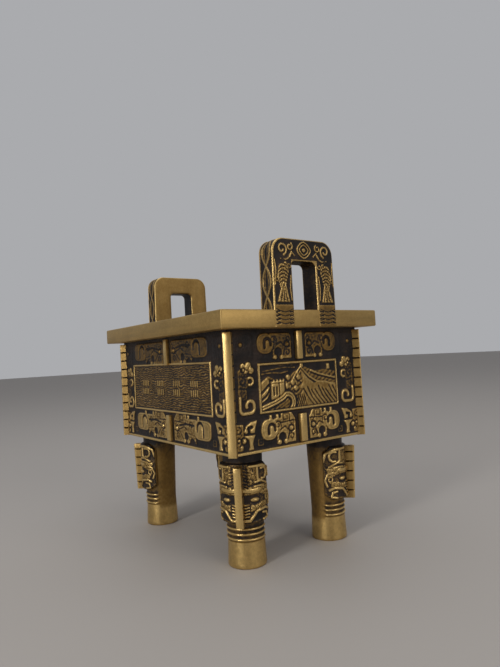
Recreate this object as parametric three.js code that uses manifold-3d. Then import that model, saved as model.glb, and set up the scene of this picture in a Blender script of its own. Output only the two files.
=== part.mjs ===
// Square ding: a small cast-brass desk ornament after the ancient four-legged food vessel.
// A hollow box stands on four round legs and carries two upright ears on its wide flat rim.
// It is one casting, so the whole of it is one solid.
// Millimetres, +Z up, origin on the floor under the middle of the box, X along the long walls.
import * as THREE from 'three';
import { mergeVertices } from 'three/addons/utils/BufferGeometryUtils.js';
import Module from 'manifold-3d';

const wasm = await Module();
wasm.setup();

// ---------------------------------------------------------------- driving dimensions
const RIM = { halfX: 75, halfY: 54.5, low: 122.8, top: 132.2, edge: 0.8 };
const BOX = { halfX: 65.8, halfY: 45.6, low: 59.6, wall: 4.0, floor: 4.0, edge: 0.5 };
const CAVITY_EDGE = 2;
const LIP = { tall: 1.4, edge: 1 };
const EAR = { outer: 75.2, thick: 12, low: 123.2, baseHalf: 21.9, topHalf: 21.4, top: 170, corner: 7.5 };
const EAR_HOLE = { half: 8.5, top: 158.1, corner: 3 };
const EAR_RELIEF = 0.5;
const LEG = { x: 50.2, y: 29.8, foot: 10.3, waist: 9.6, waistHeight: 17, neck: 10.6, sides: 17 };
const STRING_RING = { wide: 1.2, proud: 0.9, middles: [14.8, 17.5, 20.2] };
const MASK = { low: 23.5, top: 54, skin: 12.6, relief: 0.8, corner: 3.3, side: THREE.MathUtils.degToRad(53) };
const CORNER_BAR = {
  thick: 4.3, proud: 2.3, root: 3, low: 59.3, top: 121.5, notches: 10, first: 64.2, pitch: 5.75,
};
const LEG_BAR = {
  thick: 3.8, low: 22.5, top: 53, outTop: 17.7, outLow: 16.3, notches: 5, first: 27, pitch: 5.6,
};
const NOTCH = { wide: 1.4, deep: 0.8 };
const MIDDLE_BARS = [{ half: 2, low: 106.2, top: 121.5 }, { half: 2.2, low: 61.6, top: 76.6 }];
const MIDDLE_PROUD = 2;
const RELIEF = 0.9;      // how far the carving stands off the walls
const SUNK = 0.6;        // how deep a raised piece is rooted in what carries it
const FRAME_LINE = 1.1;  // width of the raised line round a panel
const EYE = { radius: 1.4, proud: 0.7 };
const DASH = { halfWide: 0.7, halfTall: 2.6, apart: 3, stagger: 1.4 };

// Where a band's dragon keeps its nose, eye, claw, tail root and tail tip, from the wall's middle.
const SHORT = {
  dragon: { nose: 5, eye: 8.3, claw: 15, root: 19.5, tip: 28, band: 3.5 },
  panel: { half: 28, low: 79, top: 105 },
  sideBand: { inner: 31, wide: 10.5 },
};
const LONG = {
  dragon: { nose: 5.2, eye: 9, claw: 19.5, root: 31.5, tip: 46.5, band: 4.2 },
  panel: { half: 49.5, low: 78.2, top: 107.2 },
  sideBand: { inner: 52, wide: 9.5 },
};
const UPPER_BAND = 106.9;  // underside of the dragons above the panel
const LOWER_BAND = 62.2;   // and of those below it

// ---------------------------------------------------------------- solids
function solid(geometry) {
  const bare = geometry.clone();
  bare.deleteAttribute('normal');
  bare.deleteAttribute('uv');
  const merged = mergeVertices(bare, 1e-4);
  return new wasm.Manifold(new wasm.Mesh({
    numProp: 3,
    vertProperties: new Float32Array(merged.attributes.position.array),
    triVerts: new Uint32Array(merged.index.array),
  }));
}

// Joins pieces in the frame they are drawn in, where shared faces still match to the last digit.
function joined(geometries) {
  return geometries.map(solid).reduce((whole, next) => whole.add(next));
}

function geometryOf(body) {
  const { vertProperties, triVerts } = body.getMesh();
  const geometry = new THREE.BufferGeometry();
  geometry.setAttribute('position', new THREE.BufferAttribute(new Float32Array(vertProperties), 3));
  geometry.setIndex(new THREE.BufferAttribute(new Uint32Array(triVerts), 1));
  geometry.computeVertexNormals();
  return geometry;
}

const placed = (body, frame) => solid(geometryOf(body).applyMatrix4(frame));

// ---------------------------------------------------------------- outlines, as lists of [u, v]
const mirrored = (outline) => outline.map(([u, v]) => [-u, v]);

function arc(u, v, radius, from, to, steps) {
  return Array.from({ length: steps + 1 }, (_, i) => {
    const turn = THREE.MathUtils.degToRad(from + (to - from) * i / steps);
    return [u + radius * Math.cos(turn), v + radius * Math.sin(turn)];
  });
}

// A strip of even width along a line of points, with mitred bends and square ends.
function strip(line, wide) {
  const points = line.map(([u, v]) => new THREE.Vector2(u, v));
  const left = [];
  const right = [];
  points.forEach((point, i) => {
    const before = points[Math.max(i - 1, 0)];
    const after = points[Math.min(i + 1, points.length - 1)];
    const into = point.clone().sub(before).normalize();
    const out = after.clone().sub(point).normalize();
    if (i === 0) into.copy(out);
    if (i === points.length - 1) out.copy(into);
    const along = into.clone().add(out).normalize();
    const reach = wide / 2 / Math.max(along.dot(into), 0.5);
    left.push([point.x - along.y * reach, point.y + along.x * reach]);
    right.unshift([point.x + along.y * reach, point.y - along.x * reach]);
  });
  return [...left, ...right];
}

const rectangle = (u0, v0, u1, v1) => [[u0, v0], [u1, v0], [u1, v1], [u0, v1]];

// A bar seen from its front, with V notches cut into both long edges.
function notchedBar(thick, low, top, first, pitch, count) {
  const edge = [[thick / 2, low]];
  for (let i = 0; i < count; i += 1) {
    const middle = first + i * pitch;
    edge.push([thick / 2, middle - NOTCH.wide / 2]);
    edge.push([thick / 2 - NOTCH.deep, middle]);
    edge.push([thick / 2, middle + NOTCH.wide / 2]);
  }
  edge.push([thick / 2, top]);
  return [...edge, ...mirrored(edge).reverse()];
}

function shapeOf(outline, hole) {
  const shape = new THREE.Shape(outline.map(([u, v]) => new THREE.Vector2(u, v)));
  if (hole) shape.holes.push(new THREE.Path(hole.map(([u, v]) => new THREE.Vector2(u, v))));
  return shape;
}

// Raised work on a flat face: the outline stands off the face by height and is rooted behind it.
function raised(outline, height, hole) {
  const depth = height + SUNK;
  return new THREE.ExtrudeGeometry(shapeOf(outline, hole), { depth, bevelEnabled: false })
    .translate(0, 0, -SUNK);
}

// A low faceted boss, such as an eye.
function boss(u, v, radius, height) {
  const profile = [[0, -SUNK], [radius, -SUNK], [radius * 0.6, height], [0, height]];
  return new THREE.LatheGeometry(profile.map(([r, h]) => new THREE.Vector2(r, h)), 5)
    .rotateX(Math.PI / 2)
    .translate(u, v, 0);
}

// ---------------------------------------------------------------- carving on the walls
// A kui dragon in profile: nose by the middle bar, an arched claw below, the tail a square hook.
// A lower dragon has a crest over its head too.
function dragon({ nose, eye, claw, root, tip, band }, low, crested) {
  const high = low + 13.6;
  const half = band / 2;
  const hookLow = low + 3.3 + half;
  const tail = strip([
    [root - 0.6, high - half], [tip - half, high - half], [tip - half, hookLow + 1.4],
    [tip - half - 1.4, hookLow], [root + half, hookLow], [root + half, high - band - 1.3],
  ], band);
  const head = crested
    ? [[claw + 0.6, high], [claw + 0.6, high + 2.2], [eye - 0.6, high + 2.2], [nose, high - 1.4]]
    : [[nose + 1.2, high], [nose, high - 1.4]];
  const body = [
    ...head, [nose, low], [claw - 2.6, low], ...arc(claw, low + 3.4, 2.3, 180, 0, 3), [claw + 1.2, low],
    [root - 1, low],
  ];
  return [...body, ...tail.reverse()];
}

// The upright beast beside a panel: leaf-shaped head, snout hook, trunk and curled tail.
function uprightBeast({ inner, wide }, low) {
  const outer = inner + wide;
  const tail = strip([
    [inner + wide * 0.55, low + 6.2], [inner + 1.1, low + 5.4], [inner + 1.8, low + 1.4],
    [outer - 1.1, low + 0.9], [outer - 1.1, low + 8],
  ], 2.1);
  const trunk = [
    [inner + wide * 0.42, low + 8.4], [outer - 0.2, low + 7.6], [outer - 0.8, low + 22.6],
    [inner + wide * 0.55, low + 26.2], [inner, low + 23.4], [inner + wide * 0.36, low + 20],
    [inner + 0.2, low + 18.6], [inner + 0.8, low + 14.2], [inner + wide * 0.4, low + 14.6],
  ];
  return [tail, trunk];
}

// Half of the beast face that meets its other half round the box's lower corner.
function cornerFace({ inner, wide }, low) {
  const outer = inner + wide;
  const horn = [
    [inner - 0.4, low + 14], [inner + 3.4, low + 9.6], [outer - 0.6, low + 9.6], [outer - 0.6, low + 14],
  ];
  const cheek = [
    [inner + 1.4, low + 8.4], [outer + 1.6, low + 9], [outer + 1.6, low + 0.4], [outer - 2.6, low],
    [outer - 2.8, low + 3.8], [inner + 5, low + 3.4], [inner + 4.4, low - 0.2], [inner + 2, low],
    [inner, low + 6],
  ];
  return [horn, cheek];
}

// A hill view in low relief: far ridge, near ridge, a watchtower and the wall that winds to it.
function hills({ half, low }) {
  const edge = half - 1;
  const foot = low + 1;
  const farRidge = [
    [-edge, foot], [edge, foot], [edge, low + 19], [half * 0.68, low + 20.6],
    [half * 0.08, low + 23.2], [-half * 0.36, low + 15.6], [-half * 0.78, low + 18], [-edge, low + 14.6],
  ];
  const nearRidge = [
    [-half * 0.1, foot], [edge, foot], [edge, low + 12.2], [half * 0.2, low + 17], [half * 0.02, low + 13.4],
  ];
  const towerLow = low + 6.4;
  const towerTop = low + 17;
  const tower = [
    [-half * 0.72, towerLow], [-half * 0.4, towerLow], [-half * 0.4, towerTop], [-half * 0.5, towerTop],
    [-half * 0.5, towerTop - 1.6], [-half * 0.62, towerTop - 1.6], [-half * 0.62, towerTop],
    [-half * 0.72, towerTop],
  ];
  const wall = strip([
    [-edge, low + 2.6], [-half * 0.5, low + 6.8], [-half * 0.2, low + 6], [-half * 0.12, low + 2.2],
  ], 2);
  return [[farRidge, RELIEF * 0.55], [nearRidge, RELIEF * 0.8], [tower, RELIEF * 1.1], [wall, RELIEF]];
}

// Four clusters of short dashes across the long panel. They stand for ornament and spell nothing.
function dashes({ half, low, top }) {
  const middle = (low + top) / 2;
  const { halfWide, halfTall, apart, stagger } = DASH;
  const marks = [];
  for (let cluster = -1.5; cluster <= 1.5; cluster += 1) {
    for (let i = -1; i <= 1; i += 1) {
      const u = cluster * half * 0.42 + i * apart;
      const v = middle + (i ? stagger : -stagger);
      marks.push(rectangle(u - halfWide, v - halfTall, u + halfWide, v + halfTall));
    }
  }
  return marks;
}

// Everything that one wall carries, in the wall's own frame.
function wallCarving(wall) {
  const { panel, dragon: beast } = wall;
  const half = [
    dragon(beast, UPPER_BAND, false), dragon(beast, LOWER_BAND, true),
    ...uprightBeast(wall.sideBand, panel.low), ...cornerFace(wall.sideBand, LOWER_BAND),
  ];
  const both = half.flatMap((outline) => [raised(outline, RELIEF), raised(mirrored(outline), RELIEF)]);
  const eyes = [UPPER_BAND + 7.6, LOWER_BAND + 7.4].flatMap((v) => [
    boss(beast.eye, v, EYE.radius, RELIEF + EYE.proud), boss(-beast.eye, v, EYE.radius, RELIEF + EYE.proud),
  ]);
  const inside = panel.half - FRAME_LINE;
  const border = raised(
    rectangle(-panel.half, panel.low, panel.half, panel.top),
    RELIEF + 0.1,
    rectangle(-inside, panel.low + FRAME_LINE, inside, panel.top - FRAME_LINE),
  );
  const picture = wall === SHORT
    ? hills(panel).map(([outline, height]) => raised(outline, height))
    : dashes(panel).map((outline) => raised(outline, RELIEF * 0.8));
  const middleBars = MIDDLE_BARS.map((bar) => (
    raised(rectangle(-bar.half, bar.low, bar.half, bar.top), MIDDLE_PROUD)
  ));
  return [...both, ...eyes, border, ...picture, ...middleBars];
}

// The frame of the wall that faces -Y, turned about Z: u to the right, v up, w outwards.
function wallFrame(turn, distance) {
  const upright = new THREE.Matrix4().makeBasis(
    new THREE.Vector3(1, 0, 0),
    new THREE.Vector3(0, 0, 1),
    new THREE.Vector3(0, -1, 0),
  ).setPosition(0, -distance, 0);
  return new THREE.Matrix4().makeRotationZ(turn).multiply(upright);
}

function walls() {
  const carved = [];
  for (const [wall, distance, turns] of [[LONG, BOX.halfY, [0, 2]], [SHORT, BOX.halfX, [1, 3]]]) {
    for (const quarter of turns) {
      carved.push(placed(joined(wallCarving(wall)), wallFrame(quarter * Math.PI / 2, distance)));
    }
  }
  return carved;
}

// ---------------------------------------------------------------- box and rim
// A rectangle with its corners cut off, as seen from above.
function cutRectangle(halfX, halfY, cut) {
  return shapeOf([
    [-halfX + cut, -halfY], [halfX - cut, -halfY], [halfX, -halfY + cut], [halfX, halfY - cut],
    [halfX - cut, halfY], [-halfX + cut, halfY], [-halfX, halfY - cut], [-halfX, -halfY + cut],
  ]);
}

function block(halfX, halfY, low, high, cut) {
  const shape = cutRectangle(halfX, halfY, cut);
  return new THREE.ExtrudeGeometry(shape, { depth: high - low, bevelEnabled: false }).translate(0, 0, low);
}

// The rim: a flat slab with all its outer edges broken.
function rim() {
  return new THREE.ExtrudeGeometry(cutRectangle(RIM.halfX, RIM.halfY, RIM.edge), {
    depth: RIM.top - RIM.low - 2 * RIM.edge,
    bevelThickness: RIM.edge,
    bevelSize: RIM.edge,
    bevelOffset: -RIM.edge,
    bevelSegments: 1,
  }).translate(0, 0, RIM.low + RIM.edge);
}

// The inside of the box, open through the rim.
const cavity = () => block(
  BOX.halfX - BOX.wall, BOX.halfY - BOX.wall, BOX.low + BOX.floor, RIM.top + 1, CAVITY_EDGE,
);

// The narrow bright lip round the foot of the walls.
const lip = () => block(BOX.halfX + RELIEF, BOX.halfY + RELIEF, BOX.low, BOX.low + LIP.tall, LIP.edge);

// Notched bars on the four corners, set on the diagonals.
function cornerBars() {
  const { thick, proud, root, low, top, first, pitch, notches } = CORNER_BAR;
  const bar = new THREE.ExtrudeGeometry(
    shapeOf(notchedBar(thick, low, top, first, pitch, notches)),
    { depth: root + proud, bevelEnabled: false },
  ).translate(0, 0, -root);
  return [[1, 1], [-1, 1], [-1, -1], [1, -1]].map(([x, y]) => {
    const frame = new THREE.Matrix4().makeTranslation(x * BOX.halfX, y * BOX.halfY, 0)
      .multiply(wallFrame(Math.atan2(y, x) + Math.PI / 2, 0));
    return solid(bar.clone().applyMatrix4(frame));
  });
}

// ---------------------------------------------------------------- ears
// Outline of an ear from its side: a tall loop with round shoulders, open below, whose two
// limbs run down the rim's end.
function earOutline() {
  const { baseHalf, topHalf, top, corner } = EAR;
  const outer = [[baseHalf, EAR.low], ...arc(topHalf - corner, top - corner, corner, 0, 90, 4)];
  const inner = [
    [EAR_HOLE.half, EAR.low],
    ...arc(EAR_HOLE.half - EAR_HOLE.corner, EAR_HOLE.top - EAR_HOLE.corner, EAR_HOLE.corner, 0, 90, 2),
  ];
  return [...outer, ...mirrored(outer).reverse(), ...mirrored(inner), ...inner.reverse()];
}

// Carving on an ear's outer face: a lozenge over the hole, volutes, a beast on each limb.
function earCarving() {
  const limb = (EAR.baseHalf + EAR_HOLE.half) / 2;
  const high = (EAR.top + EAR_HOLE.top) / 2;
  const lozenge = (r) => [[r, high], [0, high + r * 0.9], [-r, high], [0, high - r * 0.9]];
  const volute = strip(arc(limb, high, 3.2, 240, -60, 4), 1.5);
  const beast = [
    [limb - 3.8, 136], [limb + 4.6, 136], [limb + 2, 143], [limb + 4, 149], [limb + 2.4, 156],
    [limb - 2.6, 157.6], [limb - 4, 152], [limb - 1.8, 145],
  ];
  const bars = [133.4, 135].map((v) => rectangle(EAR_HOLE.half + 1, v - 0.4, EAR.baseHalf - 1.4, v + 0.3));
  const both = [volute, beast, ...bars].flatMap((outline) => [outline, mirrored(outline)]);
  return [
    raised(lozenge(5), EAR_RELIEF, lozenge(3.4)), ...both.map((outline) => raised(outline, EAR_RELIEF)),
  ];
}

function ears() {
  const solids = [];
  const { thick, outer } = EAR;
  for (const quarter of [1, 3]) {
    const frame = wallFrame(quarter * Math.PI / 2, outer);
    const loop = new THREE.ExtrudeGeometry(shapeOf(earOutline()), { depth: thick, bevelEnabled: false })
      .translate(0, 0, -thick);
    solids.push(placed(joined([loop, ...earCarving()]), frame));
  }
  return solids;
}

// ---------------------------------------------------------------- legs
// A leg is many-sided, with a facet's middle in front. What it carries keeps to the same facets.
const FACET = 2 * Math.PI / LEG.sides;

// A curved band over an odd number of facets, counted out evenly from the front.
function band(facets, inner, outer, low, high) {
  const turns = Array.from({ length: facets + 1 }, (_, i) => (i - facets / 2) * FACET);
  const round = (radius) => turns.map((turn) => [radius * Math.cos(turn), radius * Math.sin(turn)]);
  const outline = [...round(outer), ...round(inner).reverse()];
  return new THREE.ExtrudeGeometry(shapeOf(outline), { depth: high - low, bevelEnabled: false })
    .translate(0, 0, low);
}

// Places a piece drawn in [u, v] and standing along w so that w points out of the leg at a turn.
const outwards = (turn, reach) => wallFrame(turn + Math.PI / 2, reach);

// Half of the beast mask, seen squarely from beside the bar that is its nose.
function maskCarving() {
  const horn = strip([[-5.6, 51.2], [2, 51.6], [7, 50], [8, 45.6]], 2.6);
  const brow = strip([[-9.2, 40.4], [-5.4, 43.6], [0.4, 44.6], [5, 41.4]], 2.6);
  const jaw = strip([[-9.4, 25.2], [-1, 29.4], [5.4, 28.8]], 2.4);
  return [horn, brow, jaw];
}

function mask() {
  const { skin, relief, low, top, corner, side } = MASK;
  const { waist } = LEG;
  const ground = joined([
    band(7, waist - 1, skin, low, top), band(9, waist - 1, skin, low + corner, top - corner),
  ]);
  const strokes = [-1, 1].flatMap((hand) => maskCarving().map((outline) => {
    const drawn = hand > 0 ? outline : mirrored(outline);
    const stroke = new THREE.ExtrudeGeometry(shapeOf(drawn), { depth: skin, bevelEnabled: false });
    return stroke.applyMatrix4(outwards(hand * side, skin * 0.2));
  }));
  const eyes = [-1, 1].map((hand) => boss(0, 36.4, 2.1, 1.3).applyMatrix4(
    outwards(hand * 2 * FACET, skin * Math.cos(FACET / 2)),
  ));
  const raisedWork = joined(strokes).intersect(solid(band(9, waist, skin + relief, low, top)));
  return eyes.map(solid).reduce((whole, eye) => whole.add(eye), ground.add(raisedWork));
}

// One leg, standing on the origin with its carved side towards +X.
function leg() {
  const { foot, waist, waistHeight, neck, sides } = LEG;
  const top = BOX.low + 1;
  const profile = [[0, 0], [foot, 0], [waist, waistHeight], [neck, MASK.top + 2], [neck, top], [0, top]];
  const column = new THREE.LatheGeometry(
    profile.map(([r, h]) => new THREE.Vector2(r, h)),
    sides,
    (Math.PI + FACET) / 2,
  ).rotateX(Math.PI / 2);
  const { wide, proud, middles } = STRING_RING;
  const rings = middles.map((h) => band(5, waist - 1, waist + proud, h - wide / 2, h + wide / 2));
  return joined([column, ...rings, legBar()]).add(mask());
}

// The notched bar down the front of a leg, leaning in towards the foot.
function legBar() {
  const { thick, low, top, outTop, outLow, first, pitch, notches } = LEG_BAR;
  const inner = LEG.waist - 1;
  const bar = new THREE.ExtrudeGeometry(
    shapeOf(notchedBar(thick, low, top, first, pitch, notches)),
    { depth: outTop - inner, bevelEnabled: false },
  );
  const place = bar.attributes.position;
  for (let i = 0; i < place.count; i += 1) {
    const rise = (place.getY(i) - low) / (top - low);
    const share = place.getZ(i) / (outTop - inner);
    place.setZ(i, inner + (outLow - inner + (outTop - outLow) * rise) * share);
  }
  return bar.applyMatrix4(new THREE.Matrix4().makeBasis(
    new THREE.Vector3(0, 1, 0),
    new THREE.Vector3(0, 0, 1),
    new THREE.Vector3(1, 0, 0),
  ));
}

function legs() {
  const solids = [];
  for (const [x, y] of [[1, 1], [-1, 1], [-1, -1], [1, -1]]) {
    const frame = new THREE.Matrix4().makeRotationZ(Math.atan2(y, x)).setPosition(x * LEG.x, y * LEG.y, 0);
    solids.push(placed(leg(), frame));
  }
  return solids;
}

// ---------------------------------------------------------------- the casting
function casting() {
  const shell = block(BOX.halfX, BOX.halfY, BOX.low, RIM.low + 1, BOX.edge);
  const added = [...cornerBars(), ...walls(), ...legs(), ...ears()];
  const outside = added.reduce((whole, next) => whole.add(next), joined([shell, rim(), lip()]));
  return outside.subtract(solid(cavity()));
}

const brass = new THREE.MeshStandardMaterial({ color: 0x8f7443, roughness: 0.42, metalness: 1 });
const ding = new THREE.Mesh(geometryOf(casting()), brass);
ding.name = 'ding';

const model = new THREE.Group();
model.add(ding);
export default model;
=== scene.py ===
import math

import bmesh
import bpy
import numpy as np
from mathutils import Matrix, Vector


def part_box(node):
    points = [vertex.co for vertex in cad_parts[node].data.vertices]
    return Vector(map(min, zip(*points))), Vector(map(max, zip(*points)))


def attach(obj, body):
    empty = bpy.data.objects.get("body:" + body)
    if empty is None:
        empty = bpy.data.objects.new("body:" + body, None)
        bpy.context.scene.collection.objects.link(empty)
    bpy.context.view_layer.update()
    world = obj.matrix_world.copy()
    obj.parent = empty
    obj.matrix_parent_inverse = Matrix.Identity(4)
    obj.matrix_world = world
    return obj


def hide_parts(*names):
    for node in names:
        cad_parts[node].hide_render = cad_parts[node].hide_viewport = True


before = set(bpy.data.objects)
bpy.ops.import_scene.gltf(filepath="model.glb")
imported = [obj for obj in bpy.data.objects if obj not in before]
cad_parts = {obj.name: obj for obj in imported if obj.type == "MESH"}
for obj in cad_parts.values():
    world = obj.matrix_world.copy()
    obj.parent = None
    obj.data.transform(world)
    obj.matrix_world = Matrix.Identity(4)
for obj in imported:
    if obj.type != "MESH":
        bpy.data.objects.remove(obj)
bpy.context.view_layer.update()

MM = 0.001

# ------------------------------------------------------------ driving dimensions
DING_HIGH = np.array(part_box("ding")[1]) / MM
RIM_HALF_X = 75.0
RIM_HALF_Y = DING_HIGH[1]
RIM_LOW = 122.8
RIM_TOP = 132.2
RIM_EDGE = 0.8
BOX_HALF_X = 65.8
BOX_HALF_Y = 45.6
BOX_LOW = 59.6
BOX_WALL = 4.0
BOX_INSET = 0.4  # how far the plain box stays behind its carved walls
CAVITY_CORNER = 2.2
FLOOR_EDGE = 1.0
MOUTH_EDGE = 0.5
FLOOR_TOP = BOX_LOW + BOX_WALL
EAR_OUTER = 75.2
EAR_THICK = 12.0
EAR_LOW = 123.2
EAR_TOP = DING_HIGH[2]
EAR_BASE_HALF = 21.9
EAR_TOP_HALF = 21.4
EAR_CORNER = 7.5
EAR_RELIEF = 0.5
CHAIN_RELIEF = 0.45
HOLE_HALF = 8.5
HOLE_TOP = 158.1
HOLE_CORNER = 3.0
LEG_X = 50.2
LEG_Y = 29.8
LEG_FOOT = 10.3
LEG_WAIST = 9.6
LEG_NECK = 10.6
MASK_LOW = 23.5
MASK_TOP = 54.0
MASK_SKIN = 12.3
MASK_HALF_TURN = math.radians(95)
CORNER_BAR = dict(thick=4.3, proud=2.3, low=59.3, top=121.5, first=64.2, pitch=5.75, count=10)
LEG_BAR = dict(thick=3.8, low=22.5, top=53.0, first=27.0, pitch=5.6, count=5)
LEG_BAR_TOP = 17.7
LEG_BAR_LOW = 16.3
LEG_RINGS = (14.8, 17.5, 20.2)
BAR_EDGE = 0.35
MIDDLE_BARS = (("_upper_bar", 2.0, 106.2, 121.5), ("_lower_bar", 2.2, 61.6, 76.6))
RELIEF = 0.9
UPPER_BAND = 106.9
LOWER_BAND = 62.2
DRAGON_HIGH = 13.6
# Each wall: its dragons' nose, eye, claw, tail root and tail tip; its panel's half width, foot and top;
# and where the beasts beside the panel begin and how wide they are.
SHORT = dict(
    half=BOX_HALF_Y, dragon=(5.0, 8.0, 14.2, 19.5, 28.0), panel=(28.0, 79.0, 105.0), inner=31.0, wide=10.5,
)
LONG = dict(
    half=BOX_HALF_X, dragon=(5.2, 9.0, 19.5, 31.5, 46.5), panel=(49.5, 78.2, 107.2), inner=52.0, wide=9.5,
)
PANEL_LINE = 1.1
WALL_CELL = 0.36
FAR = 1e6
WALL_TUCK = 0.3  # how far a carved wall runs up into the rim
WALL_BACK = 0.8
SHADE_LOW = 108.0  # above this a wall's wear is cut back: painted shade of the rim's overhang, with heavier patina there too
SHADE_OVER = 5.0
GROUND = 0.02
CAMERA = dict(
    azimuth=54.33, elevation=-2.36, roll=-3.14, lens=28.8, aim=0.07933, distance=0.34418,
    right=0.01038, up=0.0448,
)


# ------------------------------------------------------------ drawing on a face
def gap_to_segment(u, v, start, end):
    """Distance in mm from every point to a straight segment."""
    along_u, along_v = end[0] - start[0], end[1] - start[1]
    length = along_u * along_u + along_v * along_v or 1.0
    share = np.clip(((u - start[0]) * along_u + (v - start[1]) * along_v) / length, 0, 1)
    return np.hypot(u - start[0] - share * along_u, v - start[1] - share * along_v)


def in_block(u, v, centre, half_u, half_v, power=2.6):
    """How deep every point lies inside a round-cornered block."""
    reach = (np.abs(u - centre[0]) / half_u) ** power + (np.abs(v - centre[1]) / half_v) ** power
    return (1 - reach ** (1 / power)) * min(half_u, half_v)


def rectangle(left, right, low, high):
    return [(left, low), (right, low), (right, high), (left, high)]


def arc(centre, radius, start, end, steps=6):
    """Points along an arc, its angles in degrees."""
    turns = np.radians(np.linspace(start, end, steps + 1))
    return [(centre[0] + radius * math.cos(t), centre[1] + radius * math.sin(t)) for t in turns]


def curl(centre, radius, start, end, inner=0.25, steps=12):
    """Points along a spiral that winds in from radius to a share of it."""
    shares = np.linspace(0, 1, steps + 1)
    turns = np.radians(start + (end - start) * shares)
    reach = radius * (1 - (1 - inner) * shares)
    return [(centre[0] + r * math.cos(t), centre[1] + r * math.sin(t)) for r, t in zip(reach, turns)]


def square_spiral(centre, half, gap, hand=1):
    """Corners of the angular thunder spiral, wound inwards."""
    u, v = centre
    points = [(u - hand * half, v - half), (u - hand * half, v + half), (u + hand * half, v + half)]
    while half > gap:
        points += [(u + hand * half, v - half + gap), (u - hand * (half - gap), v - half + gap)]
        half -= gap
        points += [(u - hand * half, v + half), (u + hand * (half - gap), v + half)]
        half -= gap * 0.2
    return points


def ramp(inside, slope):
    """0 outside an outline and 1 inside it, over a soft slope."""
    share = np.clip(inside / slope + 0.5, 0, 1)
    return share * share * (3 - 2 * share)


def cloudy(u, v, size, seed):
    """A smooth random field between -1 and 1 that changes over about size mm."""
    lattice = np.random.default_rng(seed).random((64, 64)) * 2 - 1
    a, b = u / size + 20, v / size + 20
    i, j = np.floor(a).astype(int), np.floor(b).astype(int)
    s, t = a - i, b - j
    s, t = s * s * (3 - 2 * s), t * t * (3 - 2 * t)
    low = lattice[i % 64, j % 64] * (1 - s) + lattice[(i + 1) % 64, j % 64] * s
    high = lattice[i % 64, (j + 1) % 64] * (1 - s) + lattice[(i + 1) % 64, (j + 1) % 64] * s
    return low * (1 - t) + high * t


class Relief:
    """A height map in mm over a face, u across and v up, which strokes raise and cut."""

    def __init__(self, u, v, height=None):
        self.u, self.v = u, v
        self.height = np.zeros(u.shape) if height is None else height

    def half(self):
        """The same map, drawn on both sides of the middle at once."""
        return Relief(np.abs(self.u), self.v, self.height)

    def moved(self, u, v):
        """The same map, with its drawing measured from another point."""
        return Relief(self.u - u, self.v - v, self.height)

    def along(self, line, wide):
        """How deep every point lies inside a stroke of even width along a line of points."""
        nearest = np.full(self.u.shape, FAR)
        for start, end in zip(line, line[1:]):
            nearest = np.minimum(nearest, gap_to_segment(self.u, self.v, start, end))
        return wide / 2 - nearest

    def inside(self, corners):
        """How deep every point lies inside a closed outline, negative outside it."""
        crossed = np.zeros(self.u.shape, dtype=bool)
        for start, end in zip(corners, corners[1:] + corners[:1]):
            if start[1] == end[1]:
                continue
            crossing = start[0] + (self.v - start[1]) * (end[0] - start[0]) / (end[1] - start[1])
            crossed ^= ((start[1] > self.v) != (end[1] > self.v)) & (self.u < crossing)
        nearest = -self.along(corners + corners[:1], 0)
        return np.where(crossed, nearest, -nearest)

    def disc(self, centre, radius):
        return radius - np.hypot(self.u - centre[0], self.v - centre[1])

    def add(self, inside, height, slope=0.5):
        np.maximum(self.height, height * ramp(inside, slope), out=self.height)

    def cut(self, inside, depth, slope=0.35):
        np.subtract(self.height, depth * ramp(inside, slope), out=self.height)

    def fill(self):
        """Brings whatever was cut too deep back up to the face."""
        np.maximum(self.height, 0.0, out=self.height)

    def stroke(self, line, wide, height):
        self.add(self.along(line, wide), height)

    def shape(self, corners, height, slope=0.5):
        self.add(self.inside(corners), height, slope)

    def line(self, line, wide=0.6, depth=0.4):
        self.cut(self.along(line, wide), depth)

    def boss(self, centre, radius, height):
        """A round eye, domed, with a groove round it."""
        inside = self.disc(centre, radius)
        self.cut(0.35 - np.abs(inside + 0.45), 0.5)
        dome = np.clip(inside / radius, 0, 1)
        np.maximum(self.height, height * np.sqrt(dome * (2 - dome)), out=self.height)


def engrave(r, inside, size, seed, depth=0.28):
    """Winding shallow grooves all over the inside of an outline, as on a crowded antique ground."""
    field = cloudy(r.u, r.v, size, seed) + 0.35 * cloudy(r.u, r.v, size * 0.5, seed + 100)
    groove = 1 - np.abs((field * 2.4) % 1 - 0.5) * 2
    r.height -= depth * ramp(groove - 0.62, 0.5) * ramp(inside, 0.6)


# ------------------------------------------------------------ carving on the walls
# Each drawing is measured from its own corner of the wall. The winding grooves stay tied to the wall.
def carve_ground(r, pitch=4.6):
    """Faint thunder spirals, tiled, all over the sunk ground."""
    tile_u = (r.u + pitch / 2) % pitch - pitch / 2
    tile_v = (r.v - BOX_LOW) % pitch - pitch / 2
    row = np.floor((r.u + pitch / 2) / pitch) + np.floor((r.v - BOX_LOW) / pitch)
    turned = np.where(row % 2 == 0, tile_u, -tile_u)
    tiles = Relief(turned, tile_v, r.height)
    tiles.add(tiles.along(square_spiral((0, 0), 1.75, 1.15), 0.5), 0.17, 0.4)


def dragon_body(wall, crested):
    """Outline of a dragon's head and body in profile, its claw arched below."""
    nose, eye, claw, root, _ = wall["dragon"]
    high = DRAGON_HIGH
    head = [(nose + 1.2, high), (nose, high - 1.4)]
    if crested:
        head = [(claw + 0.6, high), (claw + 0.6, high + 2.2), (eye - 0.6, high + 2.2), (nose, high - 1.4)]
    feet = [(nose, 0), (claw - 2.6, 0)] + arc((claw, 3.4), 2.3, 180, 0) + [(claw + 1.2, 0)]
    return head + feet + [(root - 1.6, 0), (root - 1.6, 4), (root - 0.2, 6), (root, high)]


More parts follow.
